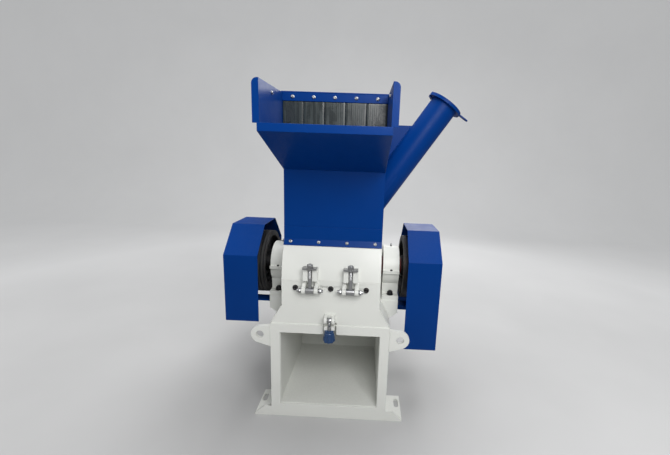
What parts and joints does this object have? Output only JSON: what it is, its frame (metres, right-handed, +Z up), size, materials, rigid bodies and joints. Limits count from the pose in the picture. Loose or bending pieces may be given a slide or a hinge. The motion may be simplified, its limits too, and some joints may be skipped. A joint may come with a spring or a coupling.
{
  "type": "plastic granulator",
  "caption": "Knife mill for plastic scrap: tilting feed hopper with tray, curtain and side pipe, belt-driven rotor over a drop-down screen, on a welded base.",
  "frame": {"origin": "on the floor, under the rotor axis and in the middle of the foot pattern", "axes": "+Z up, -Y towards the feed tray (front), +X to the right seen from the front"},
  "size_m": [1.3293, 1.421, 1.8606],
  "materials": {
    "cream_paint": "satin cream enamel",
    "blue_paint": "semi-gloss blue enamel",
    "ground_steel": "ground, lightly oiled",
    "black_steel": "blackened and oiled",
    "zinc_plate": "bright zinc plate",
    "motor_paint": "satin dark blue enamel",
    "red_paint": "dark red primer",
    "belt_rubber": "matt rubber",
    "knob_blue": "moulded, semi-gloss",
    "curtain_pvc": "soft dark PVC"
  },
  "bodies": {
    "base": {"base_sides": "cream_paint", "base_front_frame": "cream_paint", "base_back_wall": "cream_paint", "base_floor": "cream_paint", "base_top_plate": "cream_paint", "foot_plates": "cream_paint", "lifting_lugs": "cream_paint", "lower_sides": "cream_paint", "lower_front_plate": "cream_paint", "lower_rear_plate": "cream_paint", "pedestals": "cream_paint", "bearing_bases": "cream_paint", "bearing_caps": "cream_paint", "bearing_rings": "ground_steel", "frame_bolts": "black_steel", "knife_beds": "cream_paint", "fixed_knives": "ground_steel", "swing_bolt_ears": "cream_paint", "swing_bolt_pins": "zinc_plate", "hinge_pins": "zinc_plate", "guard_left": "blue_paint", "guard_right": "blue_paint", "rear_belt_guard": "blue_paint", "drive_belts": "belt_rubber", "motor_shelf": "cream_paint", "motor_frame": "motor_paint", "motor_end_shields": "motor_paint", "terminal_box": "motor_paint"},
    "motor_rotor": {"motor_pulley": "black_steel"},
    "rotor": {"rotor_shaft": "ground_steel", "rotor_body": "ground_steel", "rotor_knives": "ground_steel", "belt_wheel": "black_steel", "flywheel": "black_steel", "shaft_fittings": "red_paint"},
    "upper": {"upper_sides": "cream_paint", "upper_front_panel": "cream_paint", "upper_rear_panel": "cream_paint", "clamp_forks": "cream_paint", "hopper_front": "blue_paint", "hopper_side_left": "blue_paint", "hopper_side_right": "blue_paint", "hopper_back": "blue_paint", "curtain_bar": "blue_paint", "hopper_bolts": "zinc_plate", "side_pipe": "blue_paint"},
    "pipe_cover": {"pipe_cover": "blue_paint"},
    "curtain_1": {"curtain_strip_1": "curtain_pvc"},
    "curtain_2": {"curtain_strip_2": "curtain_pvc"},
    "curtain_3": {"curtain_strip_3": "curtain_pvc"},
    "curtain_4": {"curtain_strip_4": "curtain_pvc"},
    "curtain_5": {"curtain_strip_5": "curtain_pvc"},
    "clamp_left": {"clamp_bolt_left": "zinc_plate"},
    "clamp_right": {"clamp_bolt_right": "zinc_plate"},
    "lock": {"lock_bolt": "zinc_plate"},
    "knob": {"lock_knob": "knob_blue"},
    "cradle": {"screen_cradle": "cream_paint", "screen": "ground_steel"}
  },
  "joints": [
    {"name": "hopper_tilt", "type": "hinge", "parent": "base", "child": "upper", "pos_m": [0, 0.345, 0.832], "axis": [-1, 0, 0], "range_deg": [0, 75]},
    {"name": "rotor_spin", "type": "hinge", "parent": "base", "child": "rotor", "pos_m": [0, 0, 0.832], "axis": [1, 0, 0], "continuous": true},
    {"name": "motor_spin", "type": "hinge", "parent": "base", "child": "motor_rotor", "pos_m": [0, 0.6, 0.575], "axis": [1, 0, 0], "continuous": true},
    {"name": "clamp_left_swing", "type": "hinge", "parent": "base", "child": "clamp_left", "pos_m": [-0.1065, -0.353, 0.788], "axis": [1, 0, 0], "range_deg": [0, 100]},
    {"name": "clamp_right_swing", "type": "hinge", "parent": "base", "child": "clamp_right", "pos_m": [0.1065, -0.353, 0.788], "axis": [1, 0, 0], "range_deg": [0, 100]},
    {"name": "cradle_drop", "type": "hinge", "parent": "base", "child": "cradle", "pos_m": [0, 0.258, 0.66], "axis": [1, 0, 0], "range_deg": [0, 57]},
    {"name": "lock_swing", "type": "hinge", "parent": "base", "child": "lock", "pos_m": [0, -0.355, 0.625], "axis": [-1, 0, 0], "range_deg": [0, 95]},
    {"name": "lock_knob_turn", "type": "hinge", "parent": "lock", "child": "knob", "pos_m": [0, -0.355, 0.53], "axis": [0, 0, 1], "continuous": true},
    {"name": "pipe_cover_swing", "type": "hinge", "parent": "upper", "child": "pipe_cover", "pos_m": [0.51586, 0, 1.84343], "axis": [0.5592, 0, 0.829], "range_deg": [0, 165]},
    {"name": "curtain_1_swing", "type": "hinge", "parent": "upper", "child": "curtain_1", "pos_m": [-0.2072, -0.2815, 1.7402], "axis": [1, 0, 0], "range_deg": [-40, 70]},
    {"name": "curtain_2_swing", "type": "hinge", "parent": "upper", "child": "curtain_2", "pos_m": [-0.1036, -0.2815, 1.7402], "axis": [1, 0, 0], "range_deg": [-40, 70]},
    {"name": "curtain_3_swing", "type": "hinge", "parent": "upper", "child": "curtain_3", "pos_m": [0, -0.2815, 1.7402], "axis": [1, 0, 0], "range_deg": [-40, 70]},
    {"name": "curtain_4_swing", "type": "hinge", "parent": "upper", "child": "curtain_4", "pos_m": [0.1036, -0.2815, 1.7402], "axis": [1, 0, 0], "range_deg": [-40, 70]},
    {"name": "curtain_5_swing", "type": "hinge", "parent": "upper", "child": "curtain_5", "pos_m": [0.2072, -0.2815, 1.7402], "axis": [1, 0, 0], "range_deg": [-40, 70]}
  ],
  "couplings": [
    {"joint": "motor_spin", "follows": "rotor_spin", "ratio": 2.375}
  ]
}
